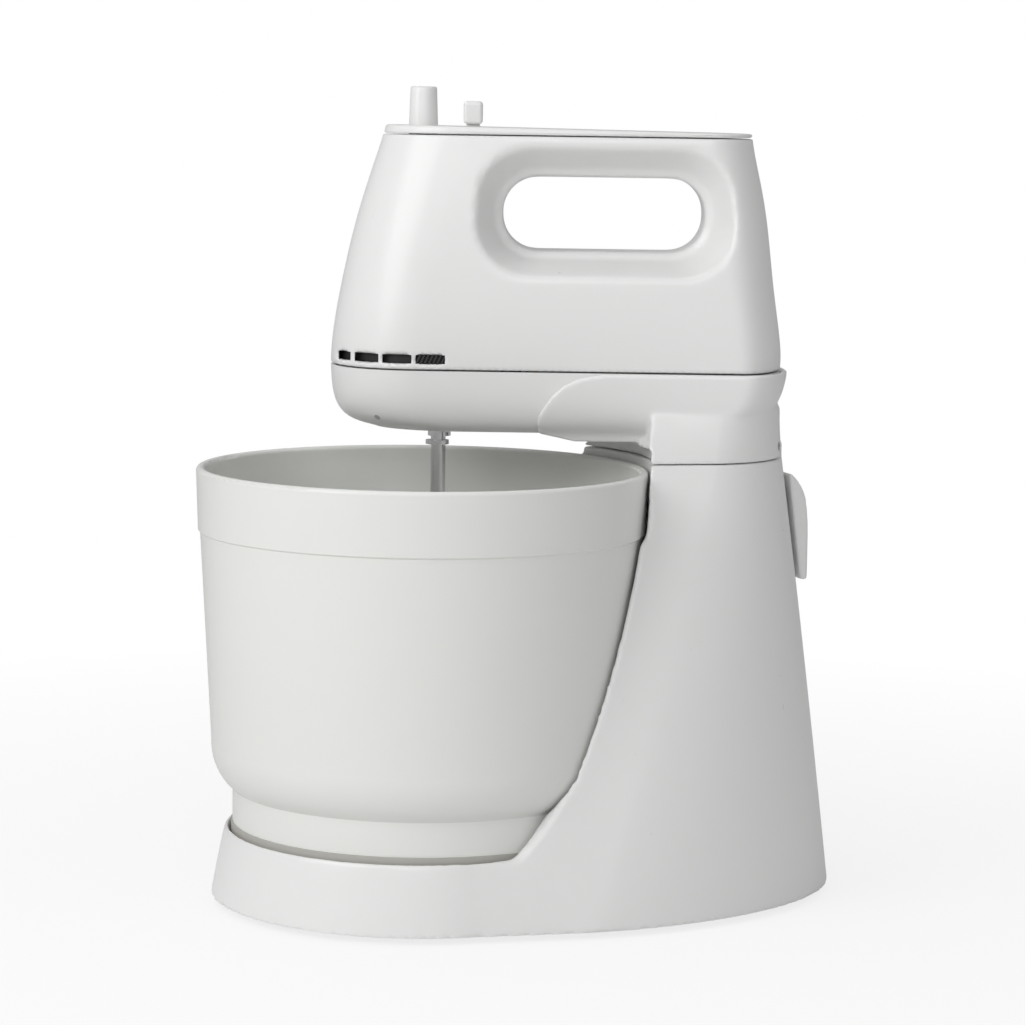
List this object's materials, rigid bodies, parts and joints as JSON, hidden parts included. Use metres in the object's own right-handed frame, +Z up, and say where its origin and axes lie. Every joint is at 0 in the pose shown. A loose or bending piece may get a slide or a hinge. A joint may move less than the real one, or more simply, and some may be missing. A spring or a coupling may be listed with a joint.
{
  "type": "stand mixer",
  "caption": "White stand mixer: a hand mixer with an open handle sits in a tilting cradle on a column, its beaters reaching into a free-turning bowl on the base.",
  "frame": {"origin": "middle of the footprint, on the surface the feet stand on", "axes": "+Z up, +X from the bowl towards the column along the stand's axis"},
  "size_m": [0.285, 0.194, 0.3511],
  "materials": {
    "white_plastic": "smooth white moulding",
    "bowl_plastic": "smooth warm white moulding",
    "grey_plastic": "satin",
    "nylon": "natural nylon",
    "black_plastic": "satin black",
    "rubber": "soft",
    "steel": "turned",
    "lamination": "stacked sheet",
    "copper": "varnished wire",
    "zinc": "die cast",
    "bronze": "sintered bush",
    "bright_steel": "polished"
  },
  "bodies": {
    "stand": {"stand_housing": "white_plastic", "base_plate": "white_plastic", "base_feet": "rubber", "base_screws": "steel", "turntable_axle": "steel", "turntable_glides": "nylon", "hinge_pin": "steel", "lever_pin": "steel"},
    "turntable": {"turntable": "grey_plastic", "bowl": "bowl_plastic"},
    "lever": {"tilt_lever": "white_plastic"},
    "cradle": {"cradle": "white_plastic"},
    "head": {"upper_housing": "white_plastic", "lower_housing": "white_plastic", "handle_cover": "white_plastic", "vent_baffle": "black_plastic", "stator_core": "lamination", "field_coils": "copper", "brush_holders": "black_plastic", "gear_bracket": "zinc", "front_bearing": "bronze", "rear_bridge": "zinc", "rear_bearing": "bronze", "eject_spring": "steel", "speed_switch": "black_plastic", "cord_inlet": "rubber"},
    "armature": {"armature_shaft": "steel", "armature_core": "lamination", "armature_windings": "copper", "commutator": "copper", "fan": "black_plastic"},
    "drive_near": {"worm_wheel_near": "nylon", "spindle_near": "steel"},
    "drive_far": {"worm_wheel_far": "nylon", "spindle_far": "steel"},
    "beater_near": {"beater_near": "bright_steel"},
    "beater_far": {"beater_far": "bright_steel"},
    "eject": {"eject_button": "white_plastic"},
    "speed": {"speed_knob": "white_plastic"}
  },
  "joints": [
    {"name": "bowl_spin", "type": "hinge", "parent": "stand", "child": "turntable", "pos_m": [-0.0455, 0, 0], "axis": [0, 0, 1], "continuous": true},
    {"name": "head_tilt", "type": "hinge", "parent": "stand", "child": "cradle", "pos_m": [0.1103, 0, 0.1969], "axis": [0, 1, 0], "range_deg": [0, 40]},
    {"name": "lever_pull", "type": "hinge", "parent": "stand", "child": "lever", "pos_m": [0.11172, 0, 0.1825], "axis": [0, -1, 0], "range_deg": [0, 15], "stiffness_Nm_per_rad": 0.15, "springref_deg": -5.73},
    {"name": "head_lift", "type": "slide", "parent": "cradle", "child": "head", "axis": [0, 0, 1], "range_m": [0, 0.06]},
    {"name": "motor_spin", "type": "hinge", "parent": "head", "child": "armature", "pos_m": [-0.03303, 0.03748, 0.243], "axis": [0.9489, -0.3156, 0], "continuous": true},
    {"name": "drive_near_spin", "type": "hinge", "parent": "head", "child": "drive_near", "pos_m": [-0.03361, 0.01738, 0], "axis": [0, 0, 1], "continuous": true},
    {"name": "drive_far_spin", "type": "hinge", "parent": "head", "child": "drive_far", "pos_m": [-0.02145, 0.05392, 0], "axis": [0, 0, 1], "continuous": true},
    {"name": "eject_press", "type": "slide", "parent": "head", "child": "eject", "axis": [0, 0, -1], "range_m": [0, 0.008], "stiffness_N_per_m": 400, "springref_m": -0.004, "deforming": ["eject_spring"]},
    {"name": "beater_near_drop", "type": "slide", "parent": "drive_near", "child": "beater_near", "axis": [0, 0, -1], "range_m": [0, 0.008]},
    {"name": "beater_far_drop", "type": "slide", "parent": "drive_far", "child": "beater_far", "axis": [0, 0, -1], "range_m": [0, 0.008]},
    {"name": "speed_slide", "type": "slide", "parent": "head", "child": "speed", "axis": [-0.9489, 0.3156, 0], "range_m": [0, 0.0085]}
  ],
  "couplings": [
    {"joint": "drive_near_spin", "follows": "motor_spin", "ratio": 0.035714},
    {"joint": "drive_far_spin", "follows": "motor_spin", "ratio": -0.035714},
    {"joint": "beater_near_drop", "follows": "eject_press", "ratio": 1},
    {"joint": "beater_far_drop", "follows": "eject_press", "ratio": 1}
  ]
}
